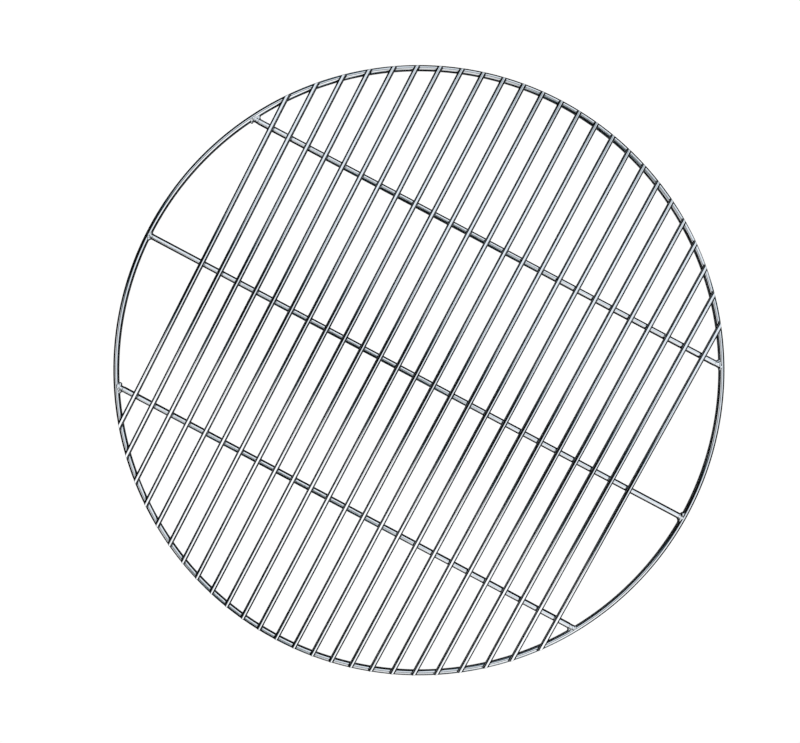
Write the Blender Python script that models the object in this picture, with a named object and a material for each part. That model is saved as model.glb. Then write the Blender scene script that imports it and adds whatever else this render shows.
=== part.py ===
# Round wire cooking grate for a fire ring, in metres, +Z up.
# The rim and the cross bars lie on z = 0, the grill rods run along Y on top of them.

from math import atan2, cos, floor, pi, sin, sqrt

import bmesh
import bpy
from mathutils import Matrix, Vector

# Driving dimensions
GRATE_DIAMETER = 0.610  # over the outside of the rim
RIM_WIRE = 0.006  # thickness of the rim's wire
BAR_WIRE = 0.006  # thickness of a cross bar
ROD_WIRE = 0.005  # thickness of a grill rod
BAR_SPACING = 0.150  # between cross bars, centre to centre
ROD_PITCH = 0.020  # between grill rods, centre to centre
ROD_SET_DOWN = 0.0008  # how far the welder presses a rod into the wires under it
ROD_END_INSET = 0.0025  # rod ends stop this far inside the rim's outside
BAR_ROOT_GAP = 0.002  # a square-cut bar end stops this far short of the rim
WELD_FILLET = 0.0035  # radius of the weld in the corners between bar and rim
WELD_HEIGHT = 0.0054  # of the weld's filleted body, thickest in its middle
WELD_REACH = 0.005  # half the width of that body, from under the rim along the bar
WELD_TOE = 0.001  # how far it runs on past the fillets
BEAD_LENGTH = 0.0062  # of one lump of weld metal along the rim
BEAD_WIDTH = 0.0056  # of a lump across the seam
BEAD_THICKNESS = 0.0040  # of a lump, from its root to its crown
BEAD_CROWN = 0.0007  # how far a lump stands above the wires
BEAD_STEP = 0.0034  # between the two lumps of one weld
BEAD_SET_BACK = 0.0006  # how far the lumps lie inside the rim's inner side
ROD_TO_WELD = 0.004  # least room between the outermost rod and a bar's end weld
SEAT_CLEARANCE = 0.0003  # between pieces that touch

# A bar is worth its welds only where it spans at least this share of the rim.
LEAST_BAR_SPAN = 0.5

# Facets
WIRE_SIDES = 14  # two more than a multiple of four, so a wire is flat on top and underneath
RIM_SEGMENTS = 144
ARC_STEPS = 6
WELD_SEGMENTS = 20
WELD_RINGS = 10
BEAD_SEGMENTS = 12
BEAD_RINGS = 8
CAP_MERGE = 0.00001
SMOOTH_UP_TO = pi / 5  # edges that turn more sharply than this stay sharp
OVERRUN = 0.1  # how far a cutter runs past the grate, as a share of its diameter

# Each finish: colour and roughness
FINISHES = {
    "rim_plating": ((0.62, 0.67, 0.72), 0.16),
    "bar_plating": ((0.64, 0.69, 0.74), 0.18),
    "rod_plating": ((0.68, 0.73, 0.78), 0.14),
    "weld_plating": ((0.60, 0.64, 0.70), 0.28),
}

# Sizes that follow from them
RIM_RADIUS = (GRATE_DIAMETER - RIM_WIRE) / 2
RIM_INNER = RIM_RADIUS - RIM_WIRE / 2
ROD_END_RADIUS = GRATE_DIAMETER / 2 - ROD_END_INSET
CUT_MARGIN = GRATE_DIAMETER * OVERRUN


def across_flats(wire):
    """Height of a faceted wire that lies on one of its flats."""
    return wire * cos(pi / WIRE_SIDES)


RIM_Z = across_flats(RIM_WIRE) / 2
BAR_Z = across_flats(BAR_WIRE) / 2
SEAT_TOP = max(across_flats(RIM_WIRE), across_flats(BAR_WIRE))
ROD_Z = SEAT_TOP - ROD_SET_DOWN + across_flats(ROD_WIRE) / 2


def half_chord(radius, offset):
    return sqrt(radius**2 - offset**2)


def offsets(spacing, each_side):
    return [step * spacing for step in range(-each_side, each_side + 1)]


def bar_offsets():
    """Places of the cross bars along Y, as far out as a bar still spans enough of the rim."""
    widest = half_chord(RIM_INNER, RIM_INNER * LEAST_BAR_SPAN)
    return offsets(BAR_SPACING, floor(widest / BAR_SPACING))


def bar_half_length(bar_y):
    """The outer corner of the square-cut end sets how far a bar reaches."""
    return half_chord(RIM_INNER, abs(bar_y) + BAR_WIRE / 2) - BAR_ROOT_GAP


def fillet_centre(bar_y, edge):
    """Centre of the fillet that touches the bar's side and the rim's inside, at the +X end."""
    y = bar_y + edge * (BAR_WIRE / 2 + WELD_FILLET)
    return Vector((half_chord(RIM_INNER - WELD_FILLET, y), y))


def rod_offsets():
    """Places of the grill rods along X: all of them cross every bar, clear of its end welds."""
    weld_start = min(fillet_centre(y, edge).x for y in bar_offsets() for edge in (1, -1))
    reach = weld_start - ROD_TO_WELD - ROD_WIRE / 2
    return offsets(ROD_PITCH, floor(reach / ROD_PITCH))


def new_collection(name):
    collection = bpy.data.collections.new(name)
    bpy.context.scene.collection.children.link(collection)
    return collection


def plated(name):
    colour, roughness = FINISHES[name]
    material = bpy.data.materials.new(name)
    material.use_nodes = True
    shader = material.node_tree.nodes["Principled BSDF"]
    shader.inputs["Base Color"].default_value = (*colour, 1)
    shader.inputs["Metallic"].default_value = 1
    shader.inputs["Roughness"].default_value = roughness
    material.diffuse_color = (*colour, 1)
    return material


def move_to(obj, collection):
    for old in obj.users_collection:
        old.objects.unlink(obj)
    collection.objects.link(obj)
    return obj


def dressed(obj, name, collection, material):
    """Names an object, smooths it and puts it in its collection."""
    obj.name = name
    obj.data.name = name
    obj.data.shade_smooth()
    obj.data.set_sharp_from_angle(angle=SMOOTH_UP_TO)
    obj.data.materials.append(material)
    return move_to(obj, collection)


def cutter(obj, name):
    obj.name = name
    obj.hide_render = True
    obj.display_type = "WIRE"
    return move_to(obj, CUTTERS)


def boolean(obj, operation, other):
    modifier = obj.modifiers.new(f"{operation.lower()} {other.name}", "BOOLEAN")
    modifier.operation = operation
    modifier.object = other
    modifier.solver = "EXACT"


def hoop(wire):
    bpy.ops.mesh.primitive_torus_add(
        major_radius=RIM_RADIUS,
        minor_radius=wire / 2,
        major_segments=RIM_SEGMENTS,
        minor_segments=WIRE_SIDES,
        location=(0, 0, RIM_Z),
    )
    return bpy.context.object


def straight_wire(wire, length, heading, location):
    """A cylinder along the heading, turned so that it has a flat on top and underneath."""
    bpy.ops.mesh.primitive_cylinder_add(
        vertices=WIRE_SIDES,
        radius=wire / 2,
        depth=length,
        location=location,
        rotation=(0, pi / 2, heading),
    )
    return bpy.context.object


def disc(radius, name):
    """A round block, tall enough to trim every rod end along the rim's curve."""
    bpy.ops.mesh.primitive_cylinder_add(vertices=RIM_SEGMENTS, radius=radius, depth=CUT_MARGIN)
    return cutter(bpy.context.object, name)


def rod_seats():
    """All the rods together, larger by the clearance: what the rim and the bars are cut with."""
    shape = bmesh.new()
    for x in rod_offsets():
        turn = Matrix.Rotation(pi / 2, 4, "Z") @ Matrix.Rotation(pi / 2, 4, "Y")
        bmesh.ops.create_cone(
            shape,
            cap_ends=True,
            segments=WIRE_SIDES,
            radius1=ROD_WIRE / 2 + SEAT_CLEARANCE,
            radius2=ROD_WIRE / 2 + SEAT_CLEARANCE,
            depth=GRATE_DIAMETER + CUT_MARGIN,
            matrix=Matrix.Translation((x, 0, ROD_Z)) @ turn,
        )
    mesh = bpy.data.meshes.new("rod_seats")
    shape.to_mesh(mesh)
    shape.free()
    seats = bpy.data.objects.new("rod_seats", mesh)
    CUTTERS.objects.link(seats)
    boolean(seats, "INTERSECT", disc(ROD_END_RADIUS + SEAT_CLEARANCE, "seat_ends"))
    return cutter(seats, "rod_seats")


def weld_toe(bar_y, edge):
    """Where the fillet runs out on the rim, at the +X end."""
    return fillet_centre(bar_y, edge) * (RIM_INNER / (RIM_INNER - WELD_FILLET))


def corner_outline(bar_y, side, edge):
    """Plan of the open corner between a bar and the rim, rounded by the fillet."""
    centre = fillet_centre(bar_y, edge)
    start = -edge * pi / 2
    sweep = atan2(centre.y, centre.x) - start
    angles = [start + sweep * step / ARC_STEPS for step in range(ARC_STEPS + 1)]
    arc = [centre + WELD_FILLET * Vector((cos(a), sin(a))) for a in angles]
    along_bar = Vector((-CUT_MARGIN, 0))
    along_rim = edge * CUT_MARGIN * Vector((-centre.y, centre.x)).normalized()
    loop = [*arc, arc[-1] + along_rim, centre + along_bar + along_rim, arc[0] + along_bar]
    return [(side * point.x, point.y, 0) for point in loop]


def slab(outline, thickness, name):
    """A flat outline as a filled curve, thickened, then made a mesh with its caps welded."""
    curve = bpy.data.curves.new(name, "CURVE")
    curve.dimensions = "2D"
    curve.fill_mode = "BOTH"
    curve.extrude = thickness / 2
    spline = curve.splines.new("POLY")
    spline.points.add(len(outline) - 1)
    for point, place in zip(spline.points, outline):
        point.co = (*place, 1)
    spline.use_cyclic_u = True
    guide = bpy.data.objects.new(name, curve)
    guide.location.z = RIM_Z
    CUTTERS.objects.link(guide)
    bpy.context.view_layer.update()
    graph = bpy.context.evaluated_depsgraph_get()
    mesh = bpy.data.meshes.new_from_object(guide.evaluated_get(graph))
    shape = bmesh.new()
    shape.from_mesh(mesh)
    bmesh.ops.remove_doubles(shape, verts=shape.verts, dist=CAP_MERGE)
    bmesh.ops.recalc_face_normals(shape, faces=shape.faces)
    shape.to_mesh(mesh)
    shape.free()
    body = bpy.data.objects.new(name, mesh)
    body.matrix_world = guide.matrix_world
    CUTTERS.objects.link(body)
    bpy.data.objects.remove(guide)
    return cutter(body, name)


def lump(place, heading, size, segments, rings):
    """A ball 1 across, scaled to its size across the rim, along it and upwards."""
    bpy.ops.mesh.primitive_uv_sphere_add(
        segments=segments,
        ring_count=rings,
        radius=1 / 2,
        location=place,
        rotation=(0, 0, heading),
        scale=size,
    )
    return bpy.context.object


def weld_body(bar_y, side):
    """A lens that reaches from under the rim to both toes of the weld and along the bar."""
    toes = [weld_toe(bar_y, edge) for edge in (1, -1)]
    middle = (toes[0] + toes[1]) / 2
    place = middle.normalized() * (RIM_RADIUS - WELD_REACH)
    length = (toes[0] - toes[1]).length + 2 * WELD_TOE
    heading = atan2(place.y, side * place.x)
    size = (2 * WELD_REACH, length, WELD_HEIGHT)
    return lump((side * place.x, place.y, RIM_Z), heading, size, WELD_SEGMENTS, WELD_RINGS)


def weld_bead(bar_y, side, end, name):
    """One bead of weld metal over the seam, to the side of the bar that end gives."""
    seam = Vector((side * half_chord(RIM_INNER - BEAD_SET_BACK, bar_y), bar_y, 0))
    heading = atan2(seam.y, seam.x)
    along = Vector((-sin(heading), cos(heading), 0))
    middle_z = SEAT_TOP + BEAD_CROWN - BEAD_THICKNESS / 2
    place = seam + end * BEAD_STEP / 2 * along + Vector((0, 0, middle_z))
    size = (BEAD_WIDTH, BEAD_LENGTH, BEAD_THICKNESS)
    return cutter(lump(place, heading, size, BEAD_SEGMENTS, BEAD_RINGS), name)


def make_rim():
    rim = dressed(hoop(RIM_WIRE), "rim_ring", GRATE, RIM_METAL)
    boolean(rim, "DIFFERENCE", SEATS)


def make_bars():
    for number, bar_y in enumerate(bar_offsets(), 1):
        bar = straight_wire(BAR_WIRE, 2 * bar_half_length(bar_y), 0, (0, bar_y, BAR_Z))
        dressed(bar, f"cross_bar_{number}", GRATE, BAR_METAL)
        boolean(bar, "DIFFERENCE", SEATS)


def make_end_welds():
    rim_space = cutter(hoop(RIM_WIRE + 2 * SEAT_CLEARANCE), "rim_space")
    for number, bar_y in enumerate(bar_offsets(), 1):
        length = 2 * (bar_half_length(bar_y) + SEAT_CLEARANCE)
        bar = straight_wire(BAR_WIRE + 2 * SEAT_CLEARANCE, length, 0, (0, bar_y, BAR_Z))
        bar_space = cutter(bar, f"bar_space_{number}")
        for side, hand in ((-1, "left"), (1, "right")):
            name = f"bar_{number}_weld_{hand}"
            weld = dressed(weld_body(bar_y, side), name, GRATE, WELD_METAL)
            for edge in (1, -1):
                outline = corner_outline(bar_y, side, edge)
                boolean(weld, "DIFFERENCE", slab(outline, 2 * WELD_HEIGHT, f"{name}_corner"))
                boolean(weld, "UNION", weld_bead(bar_y, side, edge, f"{name}_bead"))
            boolean(weld, "DIFFERENCE", rim_space)
            boolean(weld, "DIFFERENCE", bar_space)


def make_rods():
    ends = disc(ROD_END_RADIUS, "rod_ends")
    first = straight_wire(ROD_WIRE, GRATE_DIAMETER, pi / 2, (0, 0, ROD_Z))
    shared = dressed(first, "grill_rod", GRATE, ROD_METAL).data
    for number, x in enumerate(rod_offsets(), 1):
        rod = bpy.data.objects.new(f"grill_rod_{number:02d}", shared)
        rod.location = (x, 0, ROD_Z)
        rod.rotation_euler = first.rotation_euler
        GRATE.objects.link(rod)
        boolean(rod, "INTERSECT", ends)
    bpy.data.objects.remove(first)


for old in list(bpy.data.objects):
    bpy.data.objects.remove(old, do_unlink=True)

GRATE = new_collection("fire_ring_grate")
CUTTERS = new_collection("cutters")
RIM_METAL = plated("rim_plating")
BAR_METAL = plated("bar_plating")
ROD_METAL = plated("rod_plating")
WELD_METAL = plated("weld_plating")
SEATS = rod_seats()

make_rim()
make_bars()
make_end_welds()
make_rods()
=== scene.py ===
import math
import random

import bmesh
import bpy
from mathutils import Matrix, Vector, noise


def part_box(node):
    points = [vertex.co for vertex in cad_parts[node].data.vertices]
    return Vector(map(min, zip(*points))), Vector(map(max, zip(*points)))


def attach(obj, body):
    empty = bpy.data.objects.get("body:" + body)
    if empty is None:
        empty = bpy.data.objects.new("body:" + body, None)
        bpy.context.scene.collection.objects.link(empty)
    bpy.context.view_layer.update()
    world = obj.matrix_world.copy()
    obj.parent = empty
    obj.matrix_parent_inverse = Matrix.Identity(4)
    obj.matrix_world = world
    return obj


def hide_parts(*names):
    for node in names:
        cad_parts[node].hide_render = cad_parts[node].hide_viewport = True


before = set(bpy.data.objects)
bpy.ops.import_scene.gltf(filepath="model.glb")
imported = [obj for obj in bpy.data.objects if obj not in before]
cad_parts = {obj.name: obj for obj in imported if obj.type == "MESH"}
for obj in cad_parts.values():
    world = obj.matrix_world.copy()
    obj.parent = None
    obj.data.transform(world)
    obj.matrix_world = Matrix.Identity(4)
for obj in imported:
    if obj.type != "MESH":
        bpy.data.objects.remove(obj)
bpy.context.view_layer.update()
print("frame loaded,", len(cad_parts), "nodes")

mm = 0.001
draw = random.Random(24)


# Wires are tubes along a path. u of their map runs along the wire and v around it, both in metres.

def tube(name, rings, closed=False):
    shape = bmesh.new()
    mapLayer = shape.loops.layers.uv.new("lengthwise")
    rows = [[shape.verts.new(p) for p in ring["points"]] for ring in rings]
    count = len(rows)
    sides = len(rows[0])
    for i in range(count if closed else count - 1):
        after = (i + 1) % count
        uHere = rings[i]["u"]
        uThere = rings[after]["u"] if after else rings[-1]["u"] + (rings[1]["u"] - rings[0]["u"])
        around = rings[i]["round"] / sides
        for j in range(sides):
            k = (j + 1) % sides
            face = shape.faces.new((rows[i][j], rows[i][k], rows[after][k], rows[after][j]))
            face.smooth = True
            corners = ((uHere, j), (uHere, j + 1), (uThere, j + 1), (uThere, j))
            for loop, (u, step) in zip(face.loops, corners):
                loop[mapLayer].uv = (u, step * around)
    if not closed:
        for row, turn in ((rows[0], True), (rows[-1], False)):
            face = shape.faces.new(list(reversed(row)) if turn else row)
            for loop in face.loops:
                loop[mapLayer].uv = (loop.vert.co.x, loop.vert.co.z)
    bmesh.ops.recalc_face_normals(shape, faces=shape.faces)
    mesh = bpy.data.meshes.new(name)
    shape.to_mesh(mesh)
    shape.free()
    obj = bpy.data.objects.new(name, mesh)
    bpy.context.scene.collection.objects.link(obj)
    return obj


def ringOf(centre, sideways, upwards, radius, sides, u):
    points = []
    for j in range(sides):
        a = 2 * math.pi * j / sides
        points.append(centre + radius * (math.cos(a) * sideways + math.sin(a) * upwards))
    return {"points": points, "u": u, "round": 2 * math.pi * radius}


def joins(obj, slotName, *nodes):
    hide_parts(*nodes)
    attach(obj, "root")
    return obj


# Metal: patches of tint, a gloss that varies a little and fine marks in relief, each from a noise of
# its own. fine is how fine that noise is, along the wire and around it, or in x, y and z.

wireSkin = {
    "patches": {"fine": (60, 500, 1), "detail": 3, "between": (0.35, 0.65)},
    "gloss": {"fine": (120, 900, 1), "detail": 4, "between": (0.3, 0.7)},
    "marks": {"fine": (25, 2600, 1), "detail": 2, "depth": 0.05 * mm},
}


def metal(name, look, skin, alongWire=True):
    material = bpy.data.materials.new(name)
    material.use_nodes = True
    tree = material.node_tree
    shader = tree.nodes["Principled BSDF"]
    shader.inputs["Metallic"].default_value = 1
    shader.inputs["Specular Tint"].default_value = (*look["edge"], 1)
    if alongWire:
        wireMap = tree.nodes.new("ShaderNodeUVMap")
        wireMap.uv_map = "lengthwise"
        place = wireMap.outputs["UV"]
    else:
        place = tree.nodes.new("ShaderNodeTexCoord").outputs["Object"]

    def grain(layer):
        stretch = tree.nodes.new("ShaderNodeMapping")
        stretch.inputs["Scale"].default_value = layer["fine"]
        cloud = tree.nodes.new("ShaderNodeTexNoise")
        cloud.inputs["Scale"].default_value = 1
        cloud.inputs["Detail"].default_value = layer["detail"]
        tree.links.new(place, stretch.inputs["Vector"])
        tree.links.new(stretch.outputs["Vector"], cloud.inputs["Vector"])
        return cloud.outputs["Fac"]

    tint = tree.nodes.new("ShaderNodeValToRGB")
    dull, bright = tint.color_ramp.elements
    dull.position, bright.position = skin["patches"]["between"]
    dull.color = (*look["dull"], 1)
    bright.color = (*look["bright"], 1)
    tree.links.new(grain(skin["patches"]), tint.inputs["Fac"])
    tree.links.new(tint.outputs["Color"], shader.inputs["Base Color"])

    rough = tree.nodes.new("ShaderNodeMapRange")
    rough.inputs["From Min"].default_value = skin["gloss"]["between"][0]
    rough.inputs["From Max"].default_value = skin["gloss"]["between"][1]
    rough.inputs["To Min"].default_value = look["smoothest"]
    rough.inputs["To Max"].default_value = look["roughest"]
    tree.links.new(grain(skin["gloss"]), rough.inputs["Value"])
    tree.links.new(rough.outputs["Result"], shader.inputs["Roughness"])

    bump = tree.nodes.new("ShaderNodeBump")
    bump.inputs["Strength"].default_value = look["marked"]
    bump.inputs["Distance"].default_value = skin["marks"]["depth"]
    tree.links.new(grain(skin["marks"]), bump.inputs["Height"])
    tree.links.new(bump.outputs["Normal"], shader.inputs["Normal"])
    return material


# Rim

rim = {
    "thickness": 5.85 * mm,
    "sides": 32,
    "steps": 720,
    "dull": (0.49, 0.505, 0.52),
    "bright": (0.56, 0.575, 0.59),
    "smoothest": 0.015,
    "roughest": 0.045,
    "marked": 0.02,
    "edge": (0.03, 0.03, 0.035),
}
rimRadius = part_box("rim_ring")[1].x - rim["thickness"] / 2
rimHeight = rim["thickness"] / 2


def makeRim():
    up = Vector((0, 0, 1))
    radius = rim["thickness"] / 2
    rings = []
    for i in range(rim["steps"]):
        a = 2 * math.pi * i / rim["steps"]
        out = Vector((math.cos(a), math.sin(a), 0))
        centre = rimRadius * out + rimHeight * up
        rings.append(ringOf(centre, out, up, radius, rim["sides"], rimRadius * a))
    wire = tube("rim_wire", rings, closed=True)
    wire.data.materials.append(metal("rimPlating", rim, wireSkin))
    return joins(wire, "rim_plating", "rim_ring")


makeRim()
print("rim made")


# Cross bars

bar = {
    "thickness": 6.1 * mm,
    "sides": 32,
    "steps": 60,
    "endRounding": 0.4 * mm,
    "dull": (0.49, 0.505, 0.52),
    "bright": (0.56, 0.575, 0.59),
    "smoothest": 0.015,
    "roughest": 0.045,
    "marked": 0.02,
    "edge": (0.03, 0.03, 0.035),
}
barNodes = sorted(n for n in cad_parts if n.startswith("cross_bar_"))


def makeBar(node, material):
    low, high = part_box(node)
    y = (low.y + high.y) / 2
    radius = bar["thickness"] / 2
    rounding = bar["endRounding"]
    shoulder = 2 * rounding  # a second full ring keeps the shading of the rounded end off the wire
    steps = bar["steps"]
    sizes = [(low.x, radius - rounding), (low.x + rounding, radius), (low.x + shoulder, radius)]
    sizes += [(low.x + (high.x - low.x) * i / steps, radius) for i in range(1, steps)]
    sizes += [(high.x - shoulder, radius), (high.x - rounding, radius), (high.x, radius - rounding)]
    across, up = Vector((0, 1, 0)), Vector((0, 0, 1))
    rings = [ringOf(Vector((x, y, radius)), across, up, size, bar["sides"], x) for x, size in sizes]
    wire = tube(node.replace("bar", "bar_wire"), rings)
    wire.data.materials.append(material)
    return joins(wire, "bar_plating", node)


barMetal = metal("barPlating", bar, wireSkin)
for node in barNodes:
    makeBar(node, barMetal)
print("cross bars made")


# Grill rods

rod = {
    "thickness": 5.25 * mm,
    "sides": 32,
    "steps": 80,
    "bow": 0.10 * mm,  # no rod is quite straight: how far it sways, in a long wave and a short one
    "rise": 0.3,  # how much of that it moves up and down
    "shortWave": 0.6,
    "swayWaves": (14, 31),
    "riseWaves": (17, 37),
    "burr": 0.35 * mm,
    "endSizes": ((0.84, 0), (0.95, 0.3), (1, 1), (1, 2)),  # size of the cut end, and how many burrs back
    "dull": (0.52, 0.535, 0.55),
    "bright": (0.57, 0.585, 0.60),
    "smoothest": 0.015,
    "roughest": 0.045,
    "marked": 0.02,
    "edge": (0.03, 0.03, 0.035),
}
rodNodes = sorted(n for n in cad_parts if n.startswith("grill_rod_"))
middleRod = rodNodes[len(rodNodes) // 2]
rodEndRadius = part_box(middleRod)[1].y
rodHeight = (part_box(middleRod)[0].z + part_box(middleRod)[1].z) / 2


def makeRod(node, material):
    low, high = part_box(node)
    x = (low.x + high.x) / 2
    radius = rod["thickness"] / 2
    starts = [draw.uniform(0, 2 * math.pi) for _ in range(4)]
    mapStart = draw.uniform(0, 10)
    reach = high.y
    steps = rod["steps"]

    def wave(y, waves, begin):
        return math.sin(y * waves[0] + begin[0]) + rod["shortWave"] * math.sin(y * waves[1] + begin[1])

    def centreAt(y):
        sway = rod["bow"] * wave(y, rod["swayWaves"], starts[:2])
        rise = rod["rise"] * rod["bow"] * wave(y, rod["riseWaves"], starts[2:])
        return Vector((x + sway, 0, rodHeight + rise))

    def ringAt(share, size, back):
        # share runs from -1 to 1 along the rod, and every ring follows the curve of the trimmed ends
        centre = centreAt(share * reach)
        ring = []
        for j in range(rod["sides"]):
            a = 2 * math.pi * j / rod["sides"]
            px = centre.x + size * radius * math.cos(a)
            pz = centre.z + size * radius * math.sin(a)
            end = math.sqrt(rodEndRadius**2 - px**2) - back
            ring.append(Vector((px, share * end, pz)))
        return {"points": ring, "u": mapStart + share * reach, "round": 2 * math.pi * radius}

    burr = rod["burr"]
    rings = [ringAt(-1, size, back * burr) for size, back in rod["endSizes"]]
    rings += [ringAt(-1 + 2 * i / steps, 1, burr) for i in range(1, steps)]
    rings += [ringAt(1, size, back * burr) for size, back in reversed(rod["endSizes"])]
    wire = tube(node.replace("rod", "rod_wire"), rings)
    wire.data.materials.append(material)
    return joins(wire, "rod_plating", node)


rodMetal = metal("rodPlating", rod, wireSkin)
for node in rodNodes:
    makeRod(node, rodMetal)
print("grill rods made")


# End welds: each bar's end is welded to the rim by hand, so no two look alike. Steel balls laid along
# the corners and the seam are merged with a stub of each wire, then smoothed into one run of weld
# metal. In places, along goes up the rim towards the rear, inward goes along the bar to the middle.

endWeld = {
    "voxel": 0.27 * mm,
    "smoothing": 9,
    "softness": 0.5,
    "stubSink": 0.14 * mm,
    "stubLength": 10.5 * mm,
    "stubSteps": 4,
    "stubSpacing": 0.45,  # of its balls, as a share of their radius
    "balls": 9,
    "ball": 1.9,  # radius in mm, as in the lumps below, with what it swells by in the corner's middle
    "swell": 0.35,
    "uneven": 0.1,
    "ripple": 0.09 * mm,
    "rippleFine": 520,
    "dull": (0.47, 0.485, 0.50),
    "bright": (0.60, 0.615, 0.63),
    "smoothest": 0.03,
    "roughest": 0.12,
    "marked": 0.12,
    "edge": (0.10, 0.10, 0.11),
}
weldSkin = {
    "patches": {"fine": (420, 420, 420), "detail": 4, "between": (0.38, 0.58)},
    "gloss": {"fine": (900, 900, 900), "detail": 3, "between": (0.35, 0.7)},
    "marks": {"fine": (1400, 1400, 1400), "detail": 3, "depth": 0.1 * mm},
}
# front and rear: the fillet's radius on that side of the bar; lumps: along, inward, up, radius; in mm
endWelds = {
    "bar_3_weld_left": {"front": 0.9, "rear": 2.3, "lumps": [
        (2.4, 2.0, 1.3, 1.6), (-0.2, 1.5, 1.7, 1.5), (-2.9, 2.2, 1.2, 1.7), (-4.3, 3.7, 0.2, 1.7)]},
    "bar_3_weld_right": {"front": 1.1, "rear": 1.9, "lumps": [
        (2.6, 2.6, 1.3, 1.8), (0.6, 2.2, 1.8, 1.7), (-1.6, 1.6, 1.6, 1.8), (-3.6, 2.4, 0.9, 1.6)]},
    "bar_2_weld_left": {"front": 3.2, "rear": 2.0, "lumps": [
        (3.1, 1.6, 1.4, 1.5), (1.3, 2.4, 1.5, 1.2), (-1.8, 1.2, 1.9, 1.5), (-3.4, 2.3, 1.1, 1.7)]},
    "bar_2_weld_right": {"front": 4.0, "rear": 1.0, "lumps": [
        (3.2, 2.7, 1.9, 2.6), (0.2, 2.4, 1.5, 1.8), (-2.0, 2.3, 1.2, 1.8), (-3.6, 2.0, 0.8, 1.7)]},
    "bar_1_weld_left": {"front": 2.4, "rear": 1.5, "lumps": [
        (3.6, 4.4, 0.3, 2.1), (1.4, 1.9, 1.6, 1.5), (-0.6, 1.4, 1.9, 1.5), (-2.5, 2.2, 1.2, 1.7)]},
    "bar_1_weld_right": {"front": 2.1, "rear": 0.8, "lumps": [
        (1.9, 2.4, 1.4, 1.8), (-0.6, 2.5, 1.6, 1.9), (-2.9, 2.4, 1.1, 1.8)]},
}


def addBall(shape, place, radius):
    bmesh.ops.create_icosphere(shape, subdivisions=2, radius=radius, matrix=Matrix.Translation(place))


def addStub(shape, ends, radius):
    # a rounded stick through a few points
    axis = ends[-1] - ends[0]
    steps = max(2, int(axis.length / (endWeld["stubSpacing"] * radius)))
    for i in range(steps + 1):
        t = i / steps * (len(ends) - 1)
        k = min(int(t), len(ends) - 2)
        addBall(shape, ends[k].lerp(ends[k + 1], t - k), radius)


def makeEndWeld(node, form, material):
    barNode = "cross_bar_" + node.split("_")[1]
    side = -1 if node.endswith("left") else 1
    low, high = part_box(barNode)
    barY = (low.y + high.y) / 2
    rimWire = rim["thickness"] / 2
    barWire = bar["thickness"] / 2
    up = Vector((0, 0, 1))
    angle = math.asin(barY / rimRadius)
    outward = Vector((side * math.cos(angle), math.sin(angle), 0))
    along = Vector((-side * math.sin(angle), math.cos(angle), 0))
    inward = Vector((-side, 0, 0))
    seam = rimRadius * outward + rimHeight * up

    shape = bmesh.new()
    arc = []
    for i in range(2 * endWeld["stubSteps"] + 1):
        turn = angle + (i / endWeld["stubSteps"] - 1) * endWeld["stubLength"] / rimRadius
        x, y = side * rimRadius * math.cos(turn), rimRadius * math.sin(turn)
        arc.append(Vector((x, y, rimHeight)))
    addStub(shape, arc, rimWire - endWeld["stubSink"])
    barStart = Vector((seam.x, barY, barWire))
    barEnd = barStart + endWeld["stubLength"] * inward
    addStub(shape, [barStart, barEnd], barWire - endWeld["stubSink"])

    for edge, key in ((-1, "front"), (1, "rear")):
        fillet = form[key] * mm
        y = barY + edge * (barWire + fillet)
        reach = rimRadius - rimWire - fillet
        centre = Vector((side * math.sqrt(reach**2 - y**2), y, rimHeight))
        toRim = Vector((centre.x, centre.y, 0)).normalized()
        toBar = Vector((0, -edge, 0))
        for i in range(endWeld["balls"]):
            t = i / (endWeld["balls"] - 1)
            heading = (toRim * (1 - t) + toBar * t).normalized()
            ball = (endWeld["ball"] + endWeld["swell"] * math.sin(math.pi * t)) * mm
            ball += draw.uniform(-endWeld["uneven"], endWeld["uneven"]) * mm
            addBall(shape, centre + (fillet + ball) * heading, ball)
    for forward, inwards, height, radius in form["lumps"]:
        place = seam + forward * mm * along + inwards * mm * inward + height * mm * up
        addBall(shape, place, radius * mm)

    mesh = bpy.data.meshes.new(node + "_metal")
    shape.to_mesh(mesh)
    shape.free()
    weld = bpy.data.objects.new(node + "_metal", mesh)
    bpy.context.scene.collection.objects.link(weld)
    remesh = weld.modifiers.new("merge", "REMESH")
    remesh.mode = "VOXEL"
    remesh.voxel_size = endWeld["voxel"]
    soften = weld.modifiers.new("soften", "SMOOTH")
    soften.factor = endWeld["softness"]
    soften.iterations = endWeld["smoothing"]
    bpy.context.view_layer.update()
    smoothed = weld.evaluated_get(bpy.context.evaluated_depsgraph_get())
    done = bpy.data.meshes.new_from_object(smoothed)
    weld.modifiers.clear()
    weld.data = done
    normals = [vertex.normal.copy() for vertex in done.vertices]
    for vertex, normal in zip(done.vertices, normals):
        vertex.co += endWeld["ripple"] * noise.noise(vertex.co * endWeld["rippleFine"]) * normal
    for face in done.polygons:
        face.use_smooth = True
    done.materials.clear()
    done.materials.append(material)
    return joins(weld, "weld_plating", node)


weldPlating = metal("weldPlating", endWeld, weldSkin, alongWire=False)
for node, form in endWelds.items():
    makeEndWeld(node, form, weldPlating)
print("end welds made")


# Crossing welds: a thin squeezed-out fillet all round, where a rod is pressed into a bar or the rim

crossing = {
    "fillet": (0.35 * mm, 0.75 * mm),  # least and most
    "uneven": 1.3,
    "around": 28,
    "steps": 4,
    "sink": 0.45 * mm,
    "barSeeds": (3.7, 31),  # steps from rod to rod, and from bar to bar
    "rimSeeds": 5.1,
}


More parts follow.
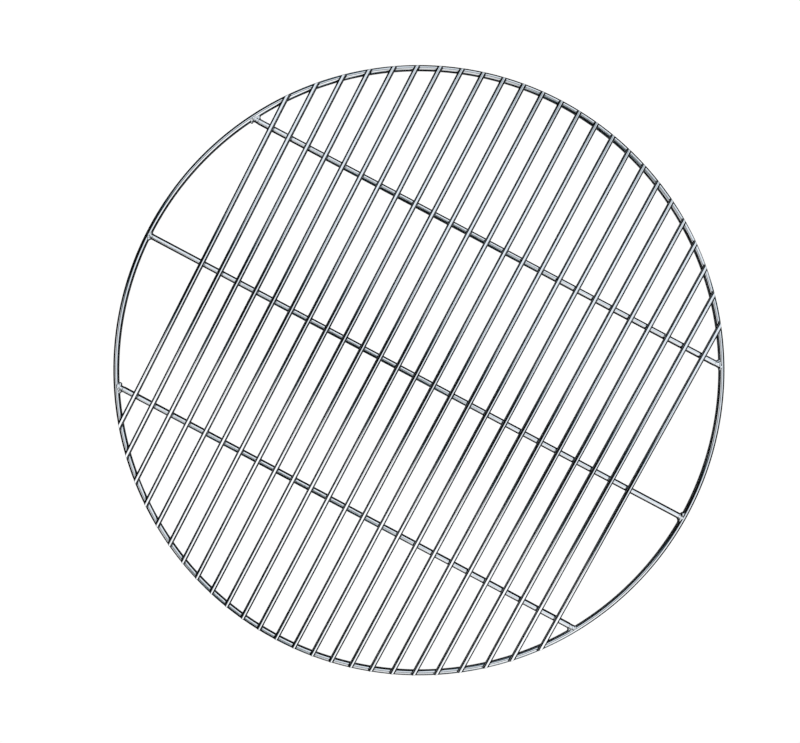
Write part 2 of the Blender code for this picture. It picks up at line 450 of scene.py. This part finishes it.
def filletSection(centre, fromWire, fromRod, radius):
    # arc of the fillet between the two wires, closed by two points sunk under their surfaces
    points = []
    for i in range(crossing["steps"] + 1):
        t = i / crossing["steps"]
        heading = (-fromWire).lerp(-fromRod, t).normalized()
        points.append(centre + radius * heading)
    points.append(points[-1] - crossing["sink"] * fromRod)
    points.append(points[0] - crossing["sink"] * fromWire)
    return points


def crossingSections(height, wireRadius, seed, place):
    # place(across, out, z, fillet) makes the section there; out and z are measured from the wire's axis
    # and height is the rod's above it. A seed of its own makes each fillet uneven in its own way.
    rodRadius = rod["thickness"] / 2
    sections = []
    low, high = crossing["fillet"]
    for i in range(crossing["around"] + 1):
        turn = 2 * math.pi * i / crossing["around"]
        uneven = crossing["uneven"]
        wave = noise.noise(Vector((uneven * math.cos(turn), uneven * math.sin(turn), seed)))
        fillet = min(high, max(low, (low + high) / 2 + wave * (high - low)))
        top = wireRadius + fillet
        bottom = height - rodRadius - fillet
        half = (top - bottom) / 2
        z = (top + bottom) / 2 + half * math.cos(2 * turn)
        across = math.cos(turn) * math.sqrt(max(0, 2 * half * (rodRadius + fillet + height - z)))
        out = math.sin(turn) * math.sqrt(max(0, 2 * half * (wireRadius + fillet + z)))
        sections.append((across, out, z, fillet))
    return [place(*section) for section in sections]


def collect(shape, sections, closed):
    rows = [[shape.verts.new(point) for point in section] for section in sections]
    if closed:
        rows[-1] = rows[0]
    size = len(rows[0])
    for here, there in zip(rows, rows[1:]):
        for j in range(size):
            k = (j + 1) % size
            shape.faces.new((here[j], here[k], there[k], there[j])).smooth = j < crossing["steps"]
    if not closed:
        shape.faces.new(list(reversed(rows[0])))
        shape.faces.new(rows[-1])


def finishCrossings(shape, name, material):
    loose = [vertex for vertex in shape.verts if not vertex.link_faces]
    bmesh.ops.delete(shape, geom=loose, context="VERTS")
    bmesh.ops.recalc_face_normals(shape, faces=shape.faces)
    mesh = bpy.data.meshes.new(name)
    shape.to_mesh(mesh)
    shape.free()
    mesh.materials.append(material)
    obj = bpy.data.objects.new(name, mesh)
    bpy.context.scene.collection.objects.link(obj)
    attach(obj, "root")
    return obj


def makeBarCrossings(barNode, number):
    low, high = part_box(barNode)
    barY = (low.y + high.y) / 2
    axis = bar["thickness"] / 2
    perRod, perBar = crossing["barSeeds"]
    shape = bmesh.new()
    for k, node in enumerate(rodNodes):
        rodX = (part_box(node)[0].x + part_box(node)[1].x) / 2

        def place(across, out, z, fillet):
            centre = Vector((rodX + across, barY + out, axis + z))
            fromWire = Vector((0, out, z)).normalized()
            fromRod = Vector((across, 0, axis + z - rodHeight)).normalized()
            return filletSection(centre, fromWire, fromRod, fillet)

        seed = perRod * k + perBar * number
        collect(shape, crossingSections(rodHeight - axis, axis, seed, place), closed=True)
    finishCrossings(shape, "bar_crossing_welds_%d" % number, weldPlating)


def makeRimCrossings():
    # only on the rim's inner side: on its outer side the rods end
    shape = bmesh.new()
    for k, node in enumerate(rodNodes):
        rodX = (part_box(node)[0].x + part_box(node)[1].x) / 2
        for end in (-1, 1):

            def place(across, out, z, fillet):
                x = rodX + across
                reach = rimRadius - out
                y = end * math.sqrt(reach**2 - x**2)
                outward = Vector((x, y, 0)) / reach
                centre = Vector((x, y, rimHeight + z))
                fromWire = (Vector((0, 0, z)) - out * outward).normalized()
                fromRod = Vector((across, 0, rimHeight + z - rodHeight)).normalized()
                return filletSection(centre, fromWire, fromRod, fillet)

            seed = crossing["rimSeeds"] * k + end
            sections = crossingSections(rodHeight - rimHeight, rimHeight, seed, place)
            collect(shape, sections[: crossing["around"] // 2 + 1], closed=False)
    finishCrossings(shape, "rim_crossing_welds", weldPlating)


for number, node in enumerate(barNodes, 1):
    makeBarCrossings(node, number)
makeRimCrossings()
print("crossing welds made")


# The table lies far below, so that the wires' edges reflect the dark room past it

stage = {
    "drop": 3000 * mm,
    "width": 2600 * mm,
    "depth": 2600 * mm,
    "middle": (-20 * mm, -171 * mm),
    "turn": 27.9,
    "thickness": 30 * mm,
    "colour": (0.82, 0.79, 0.765),
    "whiten": 0.47,  # what the camera and the metal see on top of the lit colour
}


def makeTable():
    height = -stage["drop"] - stage["thickness"] / 2
    bpy.ops.mesh.primitive_cube_add(size=1, location=(*stage["middle"], height))
    table = bpy.context.object
    table.name = "pale_table"
    table.scale = (stage["width"], stage["depth"], stage["thickness"])
    table.rotation_euler.z = math.radians(stage["turn"])
    material = bpy.data.materials.new("paleTable")
    material.use_nodes = True
    tree = material.node_tree
    tree.nodes.remove(tree.nodes["Principled BSDF"])
    surface = tree.nodes.new("ShaderNodeBsdfDiffuse")
    surface.inputs["Color"].default_value = (*stage["colour"], 1)
    glow = tree.nodes.new("ShaderNodeEmission")
    path = tree.nodes.new("ShaderNodeLightPath")
    seen = path.outputs["Is Camera Ray"]
    for kind in ("Is Glossy Ray", "Is Transmission Ray"):
        either = tree.nodes.new("ShaderNodeMath")
        either.operation = "MAXIMUM"
        tree.links.new(seen, either.inputs[0])
        tree.links.new(path.outputs[kind], either.inputs[1])
        seen = either.outputs[0]
    amount = tree.nodes.new("ShaderNodeMath")
    amount.operation = "MULTIPLY"
    amount.inputs[1].default_value = stage["whiten"]
    tree.links.new(seen, amount.inputs[0])
    tree.links.new(amount.outputs[0], glow.inputs["Strength"])
    both = tree.nodes.new("ShaderNodeAddShader")
    tree.links.new(surface.outputs[0], both.inputs[0])
    tree.links.new(glow.outputs[0], both.inputs[1])
    tree.links.new(both.outputs[0], tree.nodes["Material Output"].inputs["Surface"])
    table.data.materials.append(material)


# The studio is the world: a wide soft tent overhead in a dark room, with a pale wall in front and
# pale corners. The metal reflects that room, and the camera sees a plain white backdrop in its
# place. Places are the x and y of the direction looked in, so (0, 0) is straight up.

studio = {
    "lights": [  # tent, wall in front, panel to the right, and pale corners of the room
        {"at": (0.022, 0.190), "reach": (0.705, 0.675), "full": 0.88, "level": 1.59},
        {"at": (0.063, -0.662), "reach": (0.439, 0.223), "full": 0.96, "level": 0.78},
        {"at": (0.480, -0.060), "reach": (0.320, 0.650), "full": 0.75, "level": 1.25},
        {"at": (0.600, 0.610), "reach": (0.300, 0.270), "full": 0.50, "level": 0.85},
        {"at": (-0.560, 0.640), "reach": (0.260, 0.220), "full": 0.50, "level": 1.00},
        {"at": (0.640, -0.590), "reach": (0.260, 0.230), "full": 0.50, "level": 0.80},
    ],
    "shades": [  # what stands before them: camera, its arm and stand, and dimmer folds
        {"at": (-0.049, -0.065), "reach": (0.197, 0.177), "full": 0.87, "keeps": 0.00},
        {"at": (-0.404, -0.066), "reach": (0.514, 0.147), "full": 0.25, "keeps": 0.00},
        {"at": (-0.059, -0.649), "reach": (0.230, 0.597), "full": 0.26, "keeps": 0.06},
        {"at": (-0.153, 0.433), "reach": (0.816, 0.229), "full": 0.44, "keeps": 0.48},
        {"at": (0.202, 0.139), "reach": (0.496, 0.327), "full": 0.93, "keeps": 0.55},
        {"at": (-0.728, 0.397), "reach": (0.301, 1.063), "full": 0.74, "keeps": 0.19},
        {"at": (0.780, 0.493), "reach": (0.214, 0.212), "full": 0.77, "keeps": 0.20},
        {"at": (0.679, -0.581), "reach": (0.462, 0.169), "full": 0.46, "keeps": 0.60},
    ],
    "horizon": (-0.02, 0.08),  # z at which the lights are cut off, and at which they are whole
    "contrast": 1.6,
    "gain": 1.77,
    "brightest": 1.93,
    "backdrop": 1.02,
    "backdropInMetal": 0.01,  # the metal sees only a trace of the backdrop, so its edges stay dark
    "faint": (0.30, 0.95, 1.35),  # tints of faint, half and full light
    "half": (0.78, 1.00, 1.13),
    "halfAt": 0.4,
    "full": (0.945, 1.00, 1.055),
    "frontTint": (1.06, 1.00, 0.95),
    "frontFade": (0.0, -0.2),  # y at which that tint sets in, and at which it is whole
}


def makeWorld():
    world = bpy.data.worlds.new("studio")
    bpy.context.scene.world = world
    world.use_nodes = True
    tree = world.node_tree

    def calculate(operation, first, second=0.0):
        node = tree.nodes.new("ShaderNodeMath")
        node.operation = operation
        for socket, value in zip(node.inputs, (first, second)):
            if isinstance(value, (int, float)):
                socket.default_value = value
            else:
                tree.links.new(value, socket)
        return node.outputs[0]

    def fade(value, zeroAt, oneAt):
        node = tree.nodes.new("ShaderNodeMapRange")
        node.interpolation_type = "SMOOTHSTEP"
        node.inputs["From Min"].default_value = zeroAt
        node.inputs["From Max"].default_value = oneAt
        if zeroAt > oneAt:
            node.inputs["From Min"].default_value = oneAt
            node.inputs["From Max"].default_value = zeroAt
            node.inputs["To Min"].default_value = 1
            node.inputs["To Max"].default_value = 0
        tree.links.new(value, node.inputs["Value"])
        return node.outputs["Result"]

    place = tree.nodes.new("ShaderNodeTexCoord")
    split = tree.nodes.new("ShaderNodeSeparateXYZ")
    tree.links.new(place.outputs["Generated"], split.inputs[0])
    x, y, z = split.outputs

    def oval(field):
        across = calculate("DIVIDE", calculate("SUBTRACT", x, field["at"][0]), field["reach"][0])
        along = calculate("DIVIDE", calculate("SUBTRACT", y, field["at"][1]), field["reach"][1])
        acrossSquared = calculate("MULTIPLY", across, across)
        squares = calculate("ADD", acrossSquared, calculate("MULTIPLY", along, along))
        return fade(calculate("SQRT", squares), 1.0, field["full"])

    light = 0.0
    for field in studio["lights"]:
        light = calculate("MAXIMUM", calculate("MULTIPLY", oval(field), field["level"]), light)
    light = calculate("MULTIPLY", light, fade(z, *studio["horizon"]))
    for shade in studio["shades"]:
        kept = calculate("SUBTRACT", 1, calculate("MULTIPLY", oval(shade), 1 - shade["keeps"]))
        light = calculate("MULTIPLY", light, kept)
    light = calculate("MULTIPLY", calculate("POWER", light, studio["contrast"]), studio["gain"])
    light = calculate("MINIMUM", light, studio["brightest"])

    ramp = tree.nodes.new("ShaderNodeValToRGB")
    stops = ramp.color_ramp.elements
    stops[0].color = (*studio["faint"], 1)
    stops[1].color = (*studio["full"], 1)
    stops.new(studio["halfAt"]).color = (*studio["half"], 1)
    tree.links.new(light, ramp.inputs["Fac"])

    tint = tree.nodes.new("ShaderNodeMix")
    tint.data_type = "RGBA"
    tint.blend_type = "MULTIPLY"
    tint.inputs["B"].default_value = (*studio["frontTint"], 1)
    tree.links.new(fade(y, *studio["frontFade"]), tint.inputs["Factor"])
    tree.links.new(ramp.outputs["Color"], tint.inputs["A"])
    sky = tree.nodes["Background"]
    tree.links.new(tint.outputs["Result"], sky.inputs["Color"])
    tree.links.new(light, sky.inputs["Strength"])

    backdrop = tree.nodes.new("ShaderNodeBackground")
    backdrop.inputs["Color"].default_value = (1, 1, 1, 1)
    backdrop.inputs["Strength"].default_value = studio["backdrop"]
    path = tree.nodes.new("ShaderNodeLightPath")
    inMetal = calculate("MAXIMUM", path.outputs["Is Glossy Ray"], path.outputs["Is Transmission Ray"])
    share = calculate("MULTIPLY", inMetal, studio["backdropInMetal"])
    mix = tree.nodes.new("ShaderNodeMixShader")
    tree.links.new(calculate("MAXIMUM", path.outputs["Is Camera Ray"], share), mix.inputs["Fac"])
    tree.links.new(sky.outputs["Background"], mix.inputs[1])
    tree.links.new(backdrop.outputs["Background"], mix.inputs[2])
    tree.links.new(mix.outputs["Shader"], tree.nodes["World Output"].inputs["Surface"])


def makeCamera():
    # tilt, side and roll turn the view; the shifts place the grate in the picture
    view = {"tilt": -3.206, "side": 0.085, "roll": 27.932, "distance": 0.750,
            "shiftX": 15.854 * mm, "shiftY": 3.251 * mm, "lens": 33.647, "sensor": 36,
            "nearest": 10 * mm}
    camera = bpy.data.cameras.new("camera")
    camera.sensor_width = view["sensor"]
    camera.lens = view["lens"]
    camera.clip_start = view["nearest"]
    obj = bpy.data.objects.new("camera", camera)
    turnX = Matrix.Rotation(math.radians(view["tilt"]), 4, "X")
    turnY = Matrix.Rotation(math.radians(view["side"]), 4, "Y")
    away = Matrix.Translation((-view["shiftX"], -view["shiftY"], view["distance"]))
    roll = Matrix.Rotation(math.radians(view["roll"]), 4, "Z")
    obj.matrix_world = turnX @ turnY @ away @ roll
    bpy.context.scene.collection.objects.link(obj)
    bpy.context.scene.camera = obj


makeTable()
makeWorld()
makeCamera()
bpy.context.scene.view_settings.view_transform = "Standard"
print("stage, lights and camera made")
